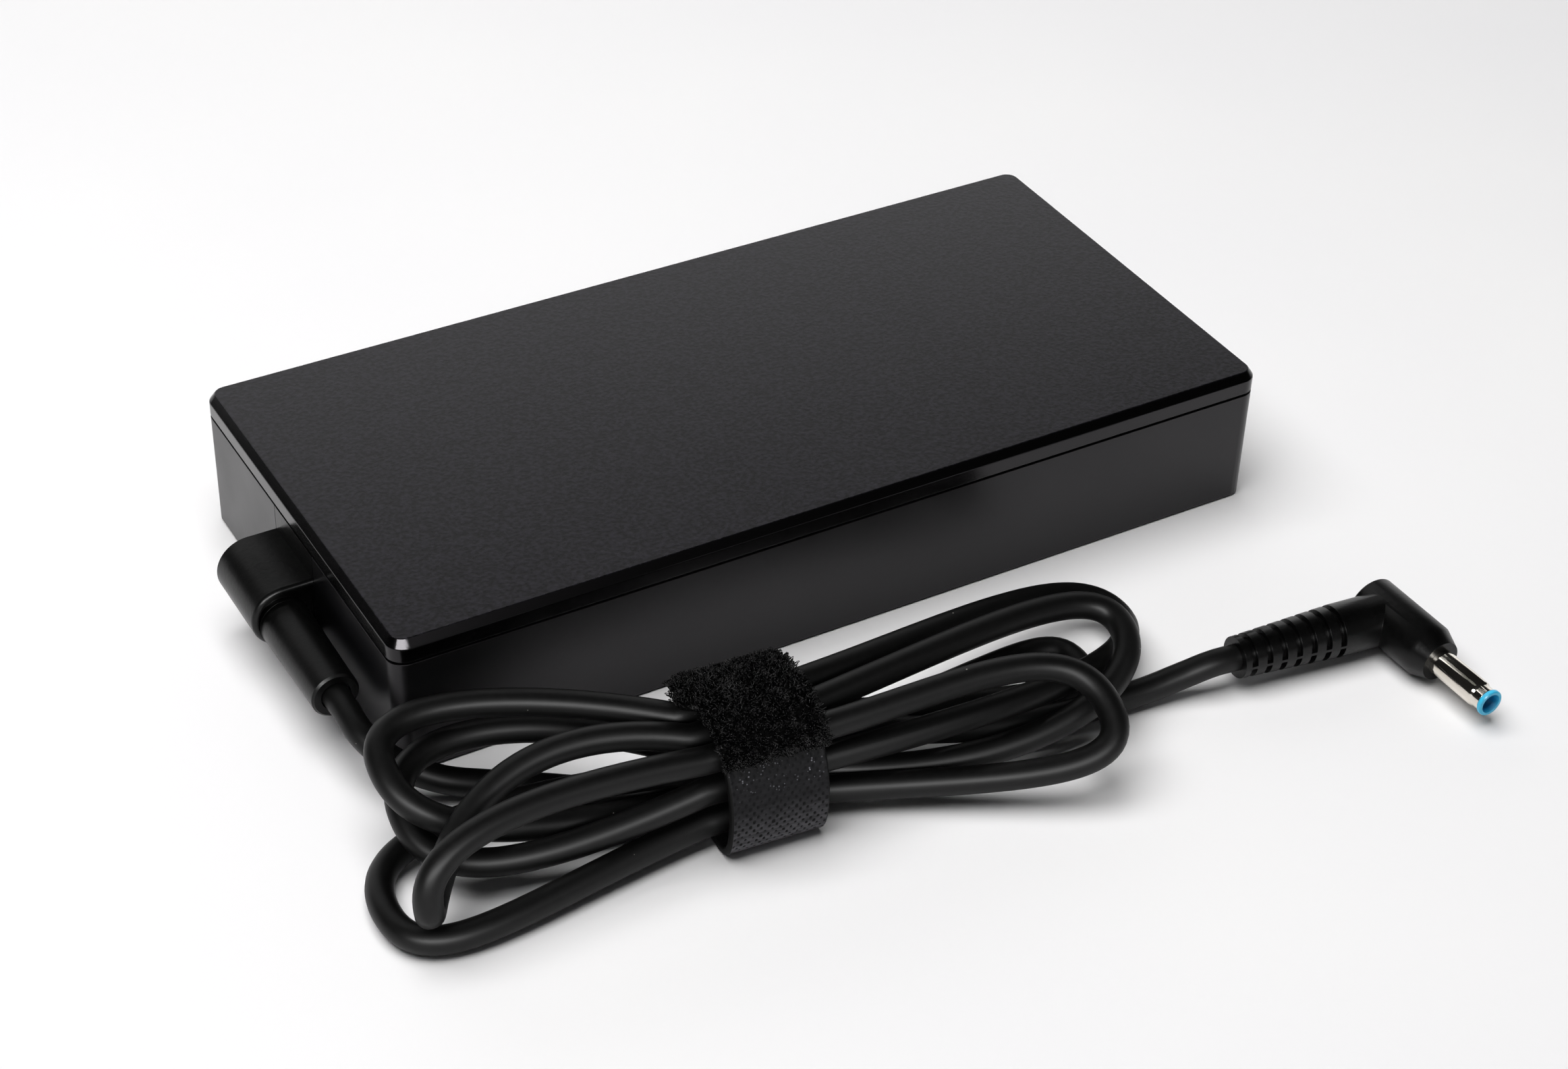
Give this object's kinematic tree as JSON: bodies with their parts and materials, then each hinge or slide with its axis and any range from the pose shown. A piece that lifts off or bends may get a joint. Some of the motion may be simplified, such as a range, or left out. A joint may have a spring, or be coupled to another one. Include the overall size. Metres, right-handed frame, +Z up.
{
  "type": "laptop power adapter",
  "caption": "Slim laptop power adapter: two-part case with polished chamfer, mains inlet, elbow strain relief, strapped hanked cord and right-angle barrel plug.",
  "frame": {"origin": "centre of the housing's bottom face, on the table that the housing stands on", "axes": "+X along the housing's length towards the mains inlet end, +Y towards the housing's long side away from the hank, +Z up"},
  "size_m": [0.177, 0.1463, 0.0254],
  "materials": {
    "tub_plastic": "black, satin",
    "cover_plastic": "black, fine textured top with polished chamfer and band",
    "inlet_plastic": "black",
    "nickel": "nickel plated",
    "red_insulation": "red insulation",
    "insulating_paper": "fish paper",
    "board_laminate": "green glass laminate",
    "fuse_ceramic": "off-white, nickel caps",
    "yellow_plastic": "yellow",
    "green_ferrite": "green coated ferrite",
    "enamelled_copper": "enamelled copper wire",
    "chip_epoxy": "black epoxy",
    "bare_aluminium": "bare sheet",
    "grey_ferrite": "dark grey ferrite",
    "capacitor_sleeve": "dark blue sleeve",
    "pad_silicone": "soft thermal pad",
    "relief_rubber": "black moulded, satin",
    "cord_jacket": "black, soft satin jacket",
    "strap_weave": "dark grey woven nylon",
    "strap_pile": "black nylon pile",
    "blue_plastic": "sky blue"
  },
  "bodies": {
    "root": {"lower_housing": "tub_plastic", "top_cover": "cover_plastic", "inlet_body": "inlet_plastic", "inlet_pins": "nickel", "inlet_wires": "red_insulation", "insulating_sheet": "insulating_paper", "main_board": "board_laminate", "fuse": "fuse_ceramic", "filter_capacitor": "yellow_plastic", "filter_choke_cores": "green_ferrite", "filter_choke_windings": "enamelled_copper", "bridge_rectifier": "chip_epoxy", "primary_heat_sink": "bare_aluminium", "power_transistors": "chip_epoxy", "inductor_core": "grey_ferrite", "inductor_winding": "enamelled_copper", "bulk_capacitors": "capacitor_sleeve", "transformer_core": "grey_ferrite", "transformer_winding": "yellow_plastic", "output_capacitors": "capacitor_sleeve", "output_choke": "enamelled_copper", "control_chips": "chip_epoxy", "heat_spreader": "bare_aluminium", "thermal_pads": "pad_silicone", "output_wires": "cord_jacket", "elbow_strain_relief": "relief_rubber", "dc_cord_lead": "cord_jacket", "dc_cord_hank": "cord_jacket", "dc_cord_tail": "cord_jacket", "strap_band": "strap_weave", "strap_pile": "strap_pile", "plug_moulding": "relief_rubber", "plug_barrel": "nickel", "plug_tip_ring": "blue_plastic", "plug_centre_pin": "nickel"}
  },
  "joints": []
}
